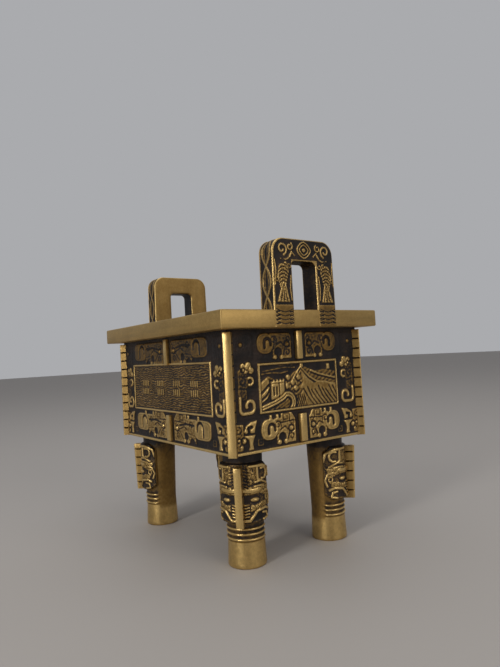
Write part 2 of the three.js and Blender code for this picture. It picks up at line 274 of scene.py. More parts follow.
def carve_scales(r, wall, crested):
    """The grooves on a dragon: curls at nose, cheek and back, a jaw, a brow and leg bands."""
    nose, eye, claw, root, _ = wall["dragon"]
    high, stretch = DRAGON_HIGH, (claw - nose) / 10
    r.line(curl(((claw + root) / 2 + 0.2, high - 3.6), 2.3, 200, -250))
    r.line(curl((nose + 3.2 * stretch, 3.1), 2.2, -30, 420))
    r.line(curl((nose + 2.3, high - 3.2), 1.7, 250, -150), 0.55, 0.35)
    r.line([(nose + 0.8, 6.4), (nose + 4.5 * stretch, 6), (claw - 3.4, 2)])
    r.line([(eye + 2.2, high - 6.6), (claw - 2, high - 4.8), (claw + 1, high - 6.2)], 0.65)
    for level in (2, 3.7, 5.4):
        r.line([(claw + 2.8, level), (root - 1.2, level - 0.8)], 0.45, 0.3)
    if crested:
        r.line(square_spiral(((eye + claw) / 2, high - 0.4), 2.1, 1.25), 0.5)
        r.line([(nose, high - 2.2), (claw + 0.6, high - 2.6)])
        for start in (claw + 1.8, root + 1):
            spine = [(start, -1), (start + 2.2, -1), (start + 1.9, 2), (start + 0.3, 2)]
            r.shape([(u, high + v) for u, v in spine], RELIEF)


def carve_dragon(page, wall, low, crested):
    """A kui dragon: nose by the middle bar, arched claw below, tail a round hook."""
    _, eye, claw, root, _ = wall["dragon"]
    high = DRAGON_HIGH
    r = page.moved(0, low)
    body = r.inside(dragon_body(wall, crested))
    r.add(body, RELIEF * 0.9, 0.7)
    engrave(page, body - 0.7, 2.1, 51 if crested else 52, 0.2)
    carve_hook(r, wall)
    carve_scales(r, wall, crested)
    r.cut(r.disc((claw, 3.4), 2.4), RELIEF, 0.5)
    r.cut(r.inside(rectangle(claw - 1.2, claw + 1.2, -1, 3)), RELIEF)
    for toe in ((claw + 2, 0.9), (claw - 2.3, 0.8)):
        r.add(r.disc(toe, 1.3), RELIEF, 0.9)
    if wall is LONG:
        r.cut(r.inside(arc((root - 5.2, -0.5), 3.4, 180, 0)), RELIEF, 0.6)
        back = [(eye + 3, high - 4.4), (claw, high - 3.2), (root - 3, high - 3.6)]
        r.cut(r.along(back, 1.0), RELIEF * 0.8, 0.6)
    r.fill()
    r.boss((eye, 7.4 if crested else 7.6), 1.3, RELIEF + 0.7)


def carve_hook(r, wall):
    """A dragon's curled tail: a rounded block whose arched slot leaves the inner end free."""
    root, tip = wall["dragon"][3:]
    half_u, half_v = (tip - root + 2.2) / 2, DRAGON_HIGH / 2 - 1.4
    centre = (tip - half_u, DRAGON_HIGH - half_v)
    power = 2.5 if wall is SHORT else 4.0
    r.add(in_block(r.u, r.v, centre, half_u, half_v, power), RELIEF, 0.6)
    inner, outer = centre[0] - half_u * 0.68, centre[0] + half_u * 0.1
    arch = arc(((inner + outer) / 2, centre[1] + 0.6), (outer - inner) / 2, 0, 180)
    slot = [(outer, centre[1] - half_u * 0.38)] + arch + [(inner, centre[1] - 0.6)]
    r.cut(r.along(slot, 1.5), RELIEF, 0.5)
    outline = in_block(r.u, r.v, centre, half_u - 0.9, half_v - 0.9, power)
    r.cut(np.where(r.u > inner + 1, 0.25 - np.abs(outline), -1), 0.2, 0.4)


def carve_upright_beast(page, wall):
    """The beast beside a panel: leaf-shaped head, snout hook, trunk and curled tail."""
    wide, low = wall["wide"], wall["panel"][1]
    r = page.moved(wall["inner"], low)
    trunk = [
        (wide * 0.42, 7.6), (wide - 0.4, 7.6), (wide - 0.8, 22.6), (wide * 0.55, 25.6), (wide * 0.3, 22.4),
        (wide * 0.4, 20), (wide * 0.3, 18.6), (wide * 0.36, 14.2), (wide * 0.44, 13.6),
    ]
    r.shape(trunk, RELIEF * 0.45, 0.8)
    engrave(page, r.inside(trunk) - 0.6, 2.2, 61, 0.16)
    tail = [(wide - 1.3, 9), (wide - 1.2, 3.4)] + arc((wide - 3.4, 3.2), 2.2, 0, -90)
    tail += arc((3, 3.6), 2.5, -90, -180) + arc((3, 4.8), 2.5, 180, 0)
    r.stroke(tail + [(5.2, 4.2)], 1.7, RELIEF)
    for lobe, at in ((1.9, (3.2, 25.2)), (1.7, (1.5, 22.6)), (2.0, (5, 23.2)), (1.5, (6.6, 25))):
        r.add(r.disc(at, lobe), RELIEF, 0.9)
    for end in ((1.6, 25.8), (0.6, 21.6), (7.4, 25.8)):
        r.line([(4.2, 22.8), end], 0.45, 0.35)
    r.stroke(arc((2.4, 17.2), 1.9, 60, 290), 1.3, RELIEF)
    r.line(curl((wide - 3.4, 17), 2.4, 90, 470), 0.55, 0.25)
    r.line([(4.6, 13.2), (wide - 1.4, 13.8)], 0.5, 0.25)
    r.line([(4.4, 19.4), (wide - 1.2, 19.8)], 0.5, 0.25)
    r.boss((wide * 0.62, 23), 0.6, RELIEF + 0.2)


def carve_corner_face(page, wall):
    """Half of the beast face that meets its other half round the box's lower corner."""
    wide = wall["wide"]
    r = page.moved(wall["inner"], LOWER_BAND)
    horn = [(-0.8, 14), (3.5, 13.4), (6.8, 11.4), (8, 8.8), (6.6, 7.7), (4.8, 8.4), (3.4, 7.8), (1.2, 7.6)]
    r.shape(horn + [(0.8, 9.8)], RELIEF, 0.6)
    r.cut(r.along([(3, 10.8), (5, 10.4), (4.6, 8.4)], 1.5), RELIEF, 0.5)
    cheek = [(0.6, 6.8), (8, 6.8), (7.6, 5.4), (5, 4.8), (4.6, 1.2), (5.4, -0.6), (2, -0.6), (2.6, 2.4)]
    r.shape(cheek + [(2, 4.6)], RELIEF, 0.6)
    side = [(wide - 2.6, 12.6), (wide + 4.4, 13), (wide + 4.4, -0.6), (wide - 1.8, -0.6), (wide - 2.4, 4)]
    r.shape(side, RELIEF * 0.8, 0.8)
    engrave(page, r.inside(side) - 0.5, 2.4, 71, 0.3)
    r.line(curl((wide + 0.8, 9.6), 2.2, 100, 460), 0.6, 0.35)
    r.line(curl((wide + 0.6, 4.4), 2.3, 260, -120), 0.6, 0.35)
    r.line([(0.8, 13.2), (4.4, 12.4), (6.8, 9.6)], 0.4, 0.2)
    r.boss((7.8, 4.2), 1.4, RELIEF + 0.4)
    spot = r.moved(-2.6, 2.4)
    square = np.maximum(np.abs(spot.u), np.abs(spot.v))
    spot.add(0.3 - np.abs(square - 1.5), RELIEF * 0.45, 0.4)
    spot.add(spot.disc((0, 0), 0.5), RELIEF * 0.45, 0.4)


def carve_upper_corner(page, wall):
    """The plain dark field above the upright beast, with one round boss and faint curls."""
    r = page.moved(wall["inner"], UPPER_BAND)
    field = rectangle(0, wall["wide"] + 2, 1, 13)
    r.shape(field, 0.3, 1.4)
    engrave(page, r.inside(field) - 0.7, 2.4, 81)
    r.boss((wall["wide"] / 2 + 2, 7.9), 1.4, RELIEF)


def into_panel(r, wall):
    """How deep every point lies inside a wall's panel."""
    half, low, top = wall["panel"]
    return np.minimum(np.minimum(half - np.abs(r.u), r.v - low), top - r.v)


def carve_border(r, wall):
    """Sinks a panel and raises the plain line that frames it."""
    depth = into_panel(r, wall)
    r.cut(depth - 0.2, 10.0, 0.2)
    np.maximum(r.height, np.where(depth > 0, GROUND, r.height), out=r.height)
    r.add(np.minimum(depth, PANEL_LINE - depth), RELIEF + 0.1, 0.35)


def fill_panel(r, wall, view):
    """Lays a height map of its own inside a panel's frame."""
    clear = ramp(into_panel(r, wall) - PANEL_LINE - 0.2, 0.5)
    laid = np.maximum(view, GROUND) * clear + r.height * (1 - clear)
    r.height[:] = np.where(clear > 0, laid, r.height)


def draw_far_hills(page, p, half):
    """Clouds, a rippled far ridge and the walls that run over it."""
    for cloud in (
        [(-25, 21.6), (-17, 22.4), (-11, 23), (-3, 22.6)], [(-15, 24), (-8, 24.4), (-4, 23.9)],
        [(-26, 20.2), (-19, 20.6), (-13, 20.1), (-8, 20.8)],
    ):
        p.stroke(cloud, 0.7, 0.45)
    ridge = [(half, 19), (half * 0.68, 20.6), (half * 0.4, 20.2), (half * 0.08, 23.4), (-half * 0.16, 20)]
    ridge += [(-half * 0.36, 15.6), (-half * 0.6, 17), (-half * 0.78, 19.2), (-half, 15.6)]
    p.shape([(-half, 0), (half, 0)] + ridge, 0.5, 0.8)
    ripple = np.sin((page.u * 0.62 - page.v) * 2.6 + cloudy(page.u, page.v, 5, 3) * 2.2)
    p.height += 0.09 * (p.height > 0.4) * ripple
    for crest in (
        [(0.6, 22.8), (-4.6, 17), (-7.4, 11.6)], [(0.6, 22.8), (6.4, 17.2), (12.2, 14)],
        [(12.2, 14), (19, 13.4), (26.4, 10.6)], [(8, 20.4), (14, 18.2), (26.4, 15.2)],
        [(-4.4, 17), (-2.6, 13.4), (-4.4, 10.4)], [(-1.6, 19.4), (0.4, 15)],
    ):
        p.stroke(crest, 0.95, 0.82)
        p.line([(u, v - 1) for u, v in crest])


def draw_near_hills(p, half):
    """A middle slope, the hatched hill on the right, bushes, and the hill behind the tower."""
    p.shape([(0.6, 22), (5.6, 16.6), (11, 13), (7, 10.4), (-0.6, 10.8), (1.8, 15)], 0.74, 1.0)
    near = [(-half * 0.1, 0), (half, 0), (half, 12.2), (half * 0.5, 14.4), (half * 0.2, 12.4)]
    p.shape(near + [(half * 0.06, 10.4), (-half * 0.06, 5.4)], 0.72, 0.8)
    for step in range(9):
        start, top = 2.4 + step * 2.7, 10.4 + 1.1 * math.sin(step * 1.9)
        p.line([(start, top), (start + 3.2, 5.4), (start + 6.6, 1.6)], 0.62, 0.42)
    for step in range(7):
        start = -5.8 + step * 1.35
        p.line([(start, 7.6), (start + 1.8, 1.2)], 0.5, 0.34)
        p.line([(start - 1, 1.6), (start + 1.4, 6.6)], 0.45, 0.25)
    for u, v in ((-8.4, 17.6), (-5.2, 14.6), (-9.6, 13.2), (-3.2, 11.6), (-1.2, 17.4)):
        p.add(p.disc((u, v), 1.5), 0.78, 1.2)
        p.line(arc((u + 0.3, v - 0.6), 1.7, 190, 330), 0.6, 0.5)
    p.shape([(-half, 5), (-20, 9), (-19, 14), (-22.6, 18.6), (-half, 15)], 0.7, 0.9)
    for rock in (
        [(-26.4, 10.4), (-22.4, 13.6), (-20.4, 15)], [(-26.4, 7), (-22.6, 9.4), (-20.8, 12)],
        [(-26, 4.8), (-22.6, 6.6), (-21, 9)],
    ):
        p.line(rock, 1.1, 0.55)


def draw_tower(p, half, low=6.4, top=17):
    """A watchtower with merlons, an edge between its two faces, slits and a string course."""
    left, right = -half * 0.72, -half * 0.4
    tower = [(left, low), (right, low), (right, top - 0.6), (left, top - 1)]
    p.cut(p.inside(tower) + 0.9, 0.6, 0.6)
    p.shape(tower, 1.0, 0.5)
    for merlon in range(4):
        start = -half * 0.7 + 0.9 + merlon * 2.2
        p.shape(rectangle(start, start + 1.1, top - 1.2, top), 1.0)
    p.line([(-half * 0.53, low + 0.5), (-half * 0.53, top - 2)], 0.6, 0.5)
    for slit in (-half * 0.66, -half * 0.59):
        p.line([(slit, low + 2.4), (slit, low + 6.4)], 0.8, 0.7)
    p.line([(-half * 0.71, top - 2.2), (-half * 0.41, top - 1.9)], 0.45)


def draw_road(p, half):
    """The walled road that winds past the tower, lines on its bank, and two far towers."""
    road = [(-half, 2.2), (-half * 0.62, 5), (-half * 0.44, 7)] + arc((-9.4, 4.4), 4.4, 100, -50)
    p.cut(p.along(road, 4.6), 0.35, 0.9)
    p.stroke(road, 2.6, 0.92)
    p.line(road, 0.5, 0.5)
    p.stroke([(-15.6, 3.6), (-7.6, 3.6)], 0.6, 0.5)
    p.stroke([(-17.6, 2.2), (-8.4, 2.2)], 0.6, 0.5)
    for at, low, top in ((half * 0.05, 22.4, 24.6), (half * 0.76, 20.4, 23.6)):
        p.shape([(at - 1.3, low), (at + 1.3, low), (at + 1.1, top), (at - 1.1, top)], 0.85)


def carve_hills(r, wall):
    """A hill view: clouds, far and near ridges, a watchtower, and the road that winds to it."""
    half, low, _ = wall["panel"]
    page = Relief(r.u, r.v)
    page.height += 0.1
    p = page.moved(0, low)
    draw_far_hills(page, p, half)
    draw_near_hills(p, half)
    draw_tower(p, half)
    draw_road(p, half)
    page.height += 0.035 * cloudy(r.u, r.v, 0.9, 5)
    fill_panel(r, wall, page.height)


def carve_dashes(r, wall):
    """Rippled ground with four clusters of shallow strokes that stand in rows and spell nothing."""
    half, low, top = wall["panel"]
    middle = (low + top) / 2
    p = Relief(r.u, r.v)
    drift = cloudy(r.u, r.v, 3.4, 11) * 1.5 + cloudy(r.u, r.v, 1.7, 12) * 0.7
    wave = np.sin(2 * math.pi * (r.v + 0.42 * drift) / 1.25 + 0.8 * np.sin(r.u * 0.9))
    p.height = 0.42 + 0.2 * np.clip(wave * 1.4, -1, 1) + 0.1 * cloudy(r.u, r.v * 1.8, 1.9, 13)
    places = (-1.5, -0.5, 0.5, 1.5)
    for cluster in places:
        for column in places:
            u = cluster * half * 0.42 + column * 2.3
            for v in (middle + 2.6, middle - 2.6):
                p.stroke([(u, v - 1.3), (u, v + 1.3)], 1.1, RELIEF)
    fill_panel(r, wall, p.height)


def wall_relief(wall, u, v):
    """Height in mm of everything that one wall carries."""
    r = Relief(u, v)
    carve_ground(r)
    both = r.half()
    carve_dragon(both, wall, UPPER_BAND, False)
    carve_dragon(both, wall, LOWER_BAND, True)
    carve_upright_beast(both, wall)
    carve_corner_face(both, wall)
    carve_upper_corner(both, wall)
    carve_border(r, wall)
    (carve_hills if wall is SHORT else carve_dashes)(r, wall)
    r.add(BOX_LOW + 1.4 - v, RELIEF, 0.3)
    return spread(r.height, 1) + 0.03 * cloudy(u, v, 1.1, 21)


# ------------------------------------------------------------ wear, from the height map
def spread(grid, times):
    """Blurs a height grid by averaging it with its neighbours."""
    for _ in range(times):
        padded = np.pad(grid, 1, mode="edge")
        grid = (padded[:-2, 1:-1] + padded[2:, 1:-1] + padded[1:-1, :-2] + padded[1:-1, 2:] + grid) / 5
    return grid


def wear(grid, full):
    """0 in the sunk ground, which keeps its dark patina, up to 1 on rubbed edges and high points."""
    crest = (grid - spread(grid, 5)) / full
    broad = (grid - spread(grid, 30)) / full
    return np.clip(0.78 * grid / full + 1.3 * crest + 0.3 * broad - 0.03, 0, 1)


# ------------------------------------------------------------ pieces
def shown(name, data):
    """A new object in the scene."""
    made = bpy.data.objects.new(name, data)
    bpy.context.scene.collection.objects.link(made)
    return made


def keep(name, bm, materials):
    """Turns a bmesh into a finished piece of the casting, in metres and in the casting's frame."""
    mesh = bpy.data.meshes.new(name)
    bm.to_mesh(mesh)
    bm.free()
    for material in materials:
        mesh.materials.append(material)
    piece = shown(name, mesh)
    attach(piece, "root")
    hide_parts("ding")
    return piece


def coordinates(mesh):
    """Every vertex's position, one to a row."""
    flat = np.empty(len(mesh.vertices) * 3)
    mesh.vertices.foreach_get("co", flat)
    return flat.reshape(-1, 3)


def set_wear_and_shade(mesh, worn):
    """Gives every vertex its share of wear, which on the walls, legs and ears also carries painted shade, and
    which the finishes read.
    """
    mesh.attributes.new("worn", "FLOAT", "POINT").data.foreach_set("value", worn)


def shape_up(piece, places, worn):
    """Moves every vertex to its place in mm, with its share of wear and painted shade, and turns the faces
    outwards.
    """
    mesh = piece.data
    mesh.vertices.foreach_set("co", (places * MM).ravel())
    set_wear_and_shade(mesh, worn)
    mesh.update()
    face_out(piece)


def smooth(piece, angle):
    """Shades a piece smoothly, but for edges sharper than an angle in degrees."""
    mesh = piece.data
    mesh.polygons.foreach_set("use_smooth", np.ones(len(mesh.polygons), dtype=bool))
    mesh.set_sharp_from_angle(angle=math.radians(angle))


def face_out(piece):
    """Recalculates the normals of a closed piece so that they point outwards."""
    bm = bmesh.new()
    bm.from_mesh(piece.data)
    bmesh.ops.recalc_face_normals(bm, faces=bm.faces)
    bm.to_mesh(piece.data)
    bm.free()


def wall_axes(quarter):
    """Across, up and out for the wall that faces -Y, turned by quarters about Z."""
    turn = Matrix.Rotation(quarter * math.pi / 2, 3, "Z")
    return [np.array(turn @ Vector(axis)) for axis in ((1, 0, 0), (0, 0, 1), (0, -1, 0))]


def carved_wall(name, wall, quarter, distance, materials):
    """One carved wall: a fine grid, raised and cut, with a thin closed back inside the box."""
    half, low, top = wall["half"], BOX_LOW, RIM_LOW + WALL_TUCK
    across, upward = round(2 * half / WALL_CELL), round((top - low) / WALL_CELL)
    bm = bmesh.new()
    bmesh.ops.create_grid(bm, x_segments=across, y_segments=upward, size=0.5)
    rim_edges = [edge for edge in bm.edges if edge.is_boundary]
    sides = bmesh.ops.extrude_edge_only(bm, edges=rim_edges)["geom"]
    back = [item for item in sides if isinstance(item, bmesh.types.BMVert)]
    bmesh.ops.translate(bm, vec=(0, 0, -1), verts=back)
    bmesh.ops.holes_fill(bm, edges=[edge for edge in bm.edges if edge.is_boundary])
    piece = keep(name, bm, materials)
    unit = coordinates(piece.data)
    column = np.rint((unit[:, 0] + 0.5) * across).astype(int)
    row = np.rint((unit[:, 1] + 0.5) * upward).astype(int)
    u_line = np.linspace(-half, half, across + 1)
    v_line = np.linspace(low, top, upward + 1)
    u_grid, v_grid = np.meshgrid(u_line, v_line, indexing="ij")
    height = wall_relief(wall, u_grid, v_grid)
    # Painted shade: above SHADE_LOW the wear is halved, so the upper band darkens as in the rim's shadow,
    # along with heavier patina there.
    worn = wear(height, RELIEF) * (1 - 0.5 * ramp(v_grid - SHADE_LOW, SHADE_OVER))
    front = unit[:, 2] > -0.5
    w = np.where(front, height[column, row], -WALL_BACK)
    side, up, out = wall_axes(quarter)
    places = np.outer(u_line[column], side) + np.outer(v_line[row], up) + np.outer(w + distance, out)
    shape_up(piece, places, np.where(front, worn[column, row], 0.1))
    smooth(piece, 60)


def closed_tube(columns, rows):
    """A capped tube of unit size with even columns and rows, to be bent into shape."""
    bm = bmesh.new()
    bmesh.ops.create_cone(bm, cap_ends=True, segments=columns, radius1=1, radius2=1, depth=1)
    upright = [e for e in bm.edges if abs(e.verts[0].co.z - e.verts[1].co.z) > 0.5]
    bmesh.ops.subdivide_edges(bm, edges=upright, cuts=rows - 1, use_grid_fill=True)
    return bm


def tube_grid(unit, columns, rows):
    """Column and row of every vertex of a closed tube."""
    turn = np.arctan2(unit[:, 1], unit[:, 0]) / (2 * math.pi)
    column = np.rint(turn * columns - 0.25).astype(int) % columns
    return column, np.rint((unit[:, 2] + 0.5) * rows).astype(int)


# ------------------------------------------------------------ legs
def mask_relief(turn, height):
    """Height in mm of the beast mask over its skin: horns, brows, eyes, nose wings, jaw."""
    r = Relief(np.abs(turn) * MASK_SKIN, height)
    r.height += 0.25
    r.shape([(2, 38), (11, 38.4), (17, 36), (19, 42), (13, 43), (2, 42)], 0.75, 1.4)
    r.shape([(4.2, 43), (9.4, 43.6), (9.4, 53.4), (4.2, 53.4)], 0.6, 1.2)
    r.shape([(5, 29.6), (16, 31), (17.4, 34.2), (11, 34.2), (5.4, 33)], 0.7, 1.2)
    engrave(r, r.height - 0.3, 1.7, 91)
    for wide, proud, line in (
        (1.5, 1.0, [(5.8, 52.6), (13.7, 52.4), (18.6, 50.4), (20.1, 46)]),
        (1.3, 0.95, arc((13.8, 48.4), 2.9, 120, -110)), (1.3, 0.9, [(9.8, 51.6), (9.9, 45.8), (12, 44.6)]),
        (1.9, 0.95, [(1.6, 40.4), (6.1, 40.2), (10.6, 40.6)]),
        (1.1, 1.0, [(8.2, 44.4), (12, 44.8), (16.8, 42.6)]),
        (0.8, 0.8, [(7.6, 42.2), (11.6, 42.4), (14.4, 41.4)]),
    ):
        r.stroke(line, wide, proud)
    for step in range(7):
        level = 51.6 - step * 1.55
        r.line([(2.2, level), (4.6 + 0.5 * math.sin(step * 2), level - 0.7)], 0.6, 0.5)
    r.stroke([(1.1, 25.2), (4.8, 25.2), (8.8, 29.8), (14.3, 30.6), (17.2, 29.4)], 1.3, 1.05)
    r.cut(r.inside([(7.2, 25), (12.2, 25.6), (12, 28.6), (9.4, 28.6)]), 0.8, 0.9)
    r.stroke([(12.6, 28.4), (15.4, 28), (16.2, 25.4), (12.8, 24.8)], 1.2, 0.8)
    for step in range(5):
        level = 27 + step * 1.5
        r.stroke([(2.2, level), (4.4, level + 0.3)], 0.75, 0.8)
    r.cut(r.inside([(2, 34.2), (5, 33.4), (5.6, 37.8), (2, 38)]), 0.7, 0.8)
    socket = [(5.2, 34.8), (7.6, 32.6), (11.2, 33.6), (11.4, 36), (8.4, 37.8), (5.8, 37.2)]
    r.cut(r.inside(socket), 0.75, 0.7)
    bar = 1 - np.hypot((r.u - 8.0) / 2.6, (r.v - 35.5) / 1.15)
    np.maximum(r.height, 1.25 * np.sqrt(np.clip(bar, 0, 1)), out=r.height)
    r.stroke([(15, 39.4), (18, 38.4), (19.6, 35), (18.4, 31.6)], 1.2, 0.85)
    r.stroke(curl((16.6, 35.4), 1.9, 60, 400, 0.4), 0.8, 0.75)
    r.fill()
    return r.height + 0.05 * cloudy(r.u, height, 1.2, 31)


def leg_skin(turn, height):
    """Radius in mm of a leg all round, its mask and string rings on, and the mask's share."""
    radii = [9.7, 10.15, LEG_FOOT, LEG_WAIST, LEG_NECK, LEG_NECK]
    shaft = np.interp(height, [0, 0.35, 0.9, 17, 56, 62], radii)
    reach = np.abs(turn) / MASK_HALF_TURN * 21
    outline = [(-1, MASK_LOW), (15.5, MASK_LOW), (21, 26.8), (21, 50.6), (16.4, MASK_TOP), (-1, MASK_TOP)]
    inside = Relief(reach, height).inside(outline)
    carved = mask_relief(turn, height) * ramp(inside - 0.4, 0.5)
    share = ramp(inside, 0.7)
    radius = shaft + (MASK_SKIN - 0.2 + carved - shaft) * share
    front = ramp(math.radians(96) - np.abs(turn), 0.3)
    for ring in LEG_RINGS:
        bead = np.sqrt(np.clip(1 - ((height - ring) / 0.6) ** 2, 0, 1))
        radius = np.maximum(radius, shaft + 0.75 * bead * front)
    return radius, share


def leg_stations():
    """Turns round a leg and heights up it, close together where the mask is carved."""
    fine, coarse, limit = 138, 26, math.radians(101)
    turns = np.concatenate([
        np.linspace(-limit, limit, fine, endpoint=False),
        np.linspace(limit, 2 * math.pi - limit, coarse, endpoint=False),
    ])
    heights = np.concatenate([
        [0, 0.12, 0.35, 0.9], np.linspace(2, 13, 9), np.linspace(13.35, 22.4, 31),
        np.linspace(22.75, 54.6, 104), [55.2, 56, 58, 60.4],
    ])
    return (turns + math.pi) % (2 * math.pi) - math.pi, heights


def leg_wear_and_shade(turn, height, radius, share):
    """Wear on a leg: bright foot and rings, a neck that darkens up to the box with heavier patina and painted
    shade of the box above, and the mask by its own relief.
    """
    shaft = np.interp(height, [0, 17, 56, 62], [LEG_FOOT, LEG_WAIST, LEG_NECK, LEG_NECK])
    mask = 0.12 + wear(np.maximum(radius - MASK_SKIN + 0.2, 0), 1.0)
    levels = [0, 13.2, 13.9, 21.4, 23.4, 53, 56, 62]
    # Painted shade: the plain wear falls from 0.42 to 0 up the neck to the box, for the box's shadow on the
    # leg as well as heavier patina.
    plain = np.interp(height, levels, [0.8, 0.8, 0.3, 0.25, 0.42, 0.3, 0.1, 0.0])
    rings = plain + 1.1 * np.clip(radius - shaft, 0, 1)
    back = ramp(np.abs(turn) - math.radians(98), 0.2)
    rings = rings + (0.5 - rings) * back * ramp(48 - height, 14) * ramp(height - 12, 4)
    return np.clip(np.where(share > 0.5, mask, rings), 0, 1)


def leg(name, x, y, materials):
    """One round leg from the floor to the box, with its carved mask turned outwards."""
    turns, heights = leg_stations()
    columns, rows = len(turns), len(heights) - 1
    piece = keep(name, closed_tube(columns, rows), materials)
    column, row = tube_grid(coordinates(piece.data), columns, rows)
    turn_grid, height_grid = np.meshgrid(turns, heights, indexing="ij")
    radius, share = leg_skin(turn_grid, height_grid)
    worn = leg_wear_and_shade(turn_grid, height_grid, radius, share)
    angle = turns[column] + math.atan2(math.copysign(1, y), math.copysign(1, x))
    r = radius[column, row]
    places = np.stack([x + r * np.cos(angle), y + r * np.sin(angle), heights[row]], axis=1)
    shape_up(piece, places, worn[column, row])
    smooth(piece, 60)


# ------------------------------------------------------------ ears
CARVED_FACE, CHAINED_SIDE, PLAIN_FACE, HOLE_WALL, ROUNDING = range(5)


def carve_ear_top(r, limb, high):
    """The lozenge in the middle of an ear's top and the scrolls beside it."""
    around = ((r.u ** 1.5) + (np.abs(r.v - high) / 0.92) ** 1.5) ** (1 / 1.5)
    for radius, wide in ((4.7, 0.95), (3.0, 0.8)):
        r.add(wide / 2 - np.abs(around - radius), EAR_RELIEF, 0.4)
    r.add(1.3 - around, EAR_RELIEF, 0.6)
    r.stroke(curl((limb, high), 3.5, 250, -150, 0.3), 1.1, EAR_RELIEF)
    r.stroke(curl((limb - 5.4, high + 1.4), 2.1, 120, 480, 0.4), 0.85, EAR_RELIEF)
    r.stroke(arc((limb - 1, high - 0.2), 5.6, 190, 290), 0.8, EAR_RELIEF)
    r.stroke([(6.6, high - 3.2), (8.6, high - 1.4), (10.4, high - 3.6)], 0.8, EAR_RELIEF * 0.8)


def carve_ear_beast(page, limb):
    """The scaled beast that climbs an ear's limb, with threads and curls at its sides."""
    r = page.moved(limb, 0)
    beast = [(-3.8, 136), (4.6, 136), (2, 143), (4, 149), (2.4, 156), (-2.6, 157.6), (-4, 152), (-1.8, 145)]
    r.shape(beast, EAR_RELIEF, 0.7)
    engrave(page, r.inside(beast) - 0.7, 1.7, 95, 0.2)
    for step in range(7):
        r.line(arc((-0.2, 143.4 + step * 1.9), 3.6, 30, 150), 0.5, 0.3)
    for step in range(3):
        r.line([(-2.4 + step * 2.4, 136.2), (-1.2 + step * 1.1, 140.6)], 0.5, 0.25)
    r.line(curl((0, 157.2), 1.7, 0, 330, 0.3), 0.5, 0.3)
    for wide, thread in (
        (0.8, [(-5.2, 137), (-4.6, 143), (-5.4, 150)]), (0.8, [(5.2, 158), (4.6, 152), (5.4, 145)]),
        (0.7, curl((4.2, 147.6), 1.5, 0, 300, 0.4)), (0.7, curl((-4.4, 155.4), 1.5, 180, 480, 0.4)),
    ):
        r.stroke(thread, wide, EAR_RELIEF * 0.7)


def carve_ear_strip(r, limb):
    """The leafy strip that an ear's limb carries on down the end of the rim."""
    strip_end = RIM_TOP + 3.0
    r.cut(0.35 - np.abs(r.v - strip_end + 0.1), EAR_RELIEF, 0.3)
    below = ramp(strip_end - 0.5 - r.v, 0.4)
    r.height[:] = r.height * (1 - below) + EAR_RELIEF * 0.7 * below
    inner, outer = HOLE_HALF, EAR_BASE_HALF
    for step in range(4):
        level = 125.2 + step * 2.05
        leaf = [(inner + 0.9, 1.1), (limb - 2, -0.2), (limb, -0.6), (limb + 2, -0.2), (outer - 1, 1.1)]
        r.line([(u, level + v) for u, v in leaf], 0.4, EAR_RELIEF * 0.35)
        for start, end in ((inner + 0.5, inner + 3.4), (outer - 3.2, outer - 0.4)):
            r.line([(start, level), (end, level - 0.5)], 0.75, EAR_RELIEF * 0.8)
    r.fill()


def ear_carving(across, height):
    """Relief in mm on an ear's outer face, and on its two strips down the end of the rim."""
    r = Relief(np.abs(across), height)
    limb = (EAR_BASE_HALF + HOLE_HALF) / 2
    carve_ear_top(r, limb, (EAR_TOP + HOLE_TOP) / 2)
    carve_ear_beast(r, limb)
    carve_ear_strip(r, limb)
    hole_gap = np.abs(np.maximum(r.u - HOLE_HALF, height - HOLE_TOP))
    r.add(0.6 - np.minimum(hole_gap, EAR_BASE_HALF + 0.2 - r.u), EAR_RELIEF * 0.9, 0.3)
    r.add(height - EAR_TOP + 0.6, EAR_RELIEF * 0.9, 0.3)
    return np.clip(r.height + 0.012 * cloudy(across, height, 1.0, 41), 0, EAR_RELIEF)


def ear_chain(run, depth):
    """Relief in mm on an ear's narrow outer side: a chain of crossing leaves."""
    r = Relief(depth - EAR_THICK / 2, run)
    swing = 3.3 * np.sin(run * math.pi / 16)
    for hand in (-1, 1):
        r.add(0.75 - np.abs(r.u - hand * swing), CHAIN_RELIEF, 0.5)
    r.add(0.5 - np.abs(r.u - 0.45 * swing), 0.3, 0.5)
    r.add(0.4 - np.abs(r.u + 0.45 * swing), 0.3, 0.5)
    r.add(np.abs(r.u) - EAR_THICK / 2 + 1.1, CHAIN_RELIEF, 0.4)
    return r.height - CHAIN_RELIEF


def ear_rows():
    """Stations along an ear from one limb's foot over the top to the other: outer edge and hole edge."""
    foot, bend, top = 108, 32, 37
    rise = np.linspace(0, 1, foot, endpoint=False)[:, None]
    swing = np.radians(np.linspace(0, 90, bend, endpoint=False))[:, None]
    level = np.linspace(1, 0, top + 1)[:, None]
    shoulder = (EAR_TOP_HALF - EAR_CORNER, EAR_TOP - EAR_CORNER)
    hole = (HOLE_HALF - HOLE_CORNER, HOLE_TOP - HOLE_CORNER)
    way = np.hstack([np.cos(swing), np.sin(swing)])
    edges = []
    for foot_half, head_half, centre, corner, top_v in (
        (EAR_BASE_HALF, EAR_TOP_HALF, shoulder, EAR_CORNER, EAR_TOP),
        (HOLE_HALF, HOLE_HALF, hole, HOLE_CORNER, HOLE_TOP),
    ):
        limb = np.array([foot_half, EAR_LOW]) * (1 - rise) + np.array([head_half, centre[1]]) * rise
        half = np.vstack([limb, centre + corner * way, np.hstack([centre[0] * level, 0 * level + top_v])])
        edges.append(np.vstack([half, half[-2::-1] * (-1, 1)]))
    return edges


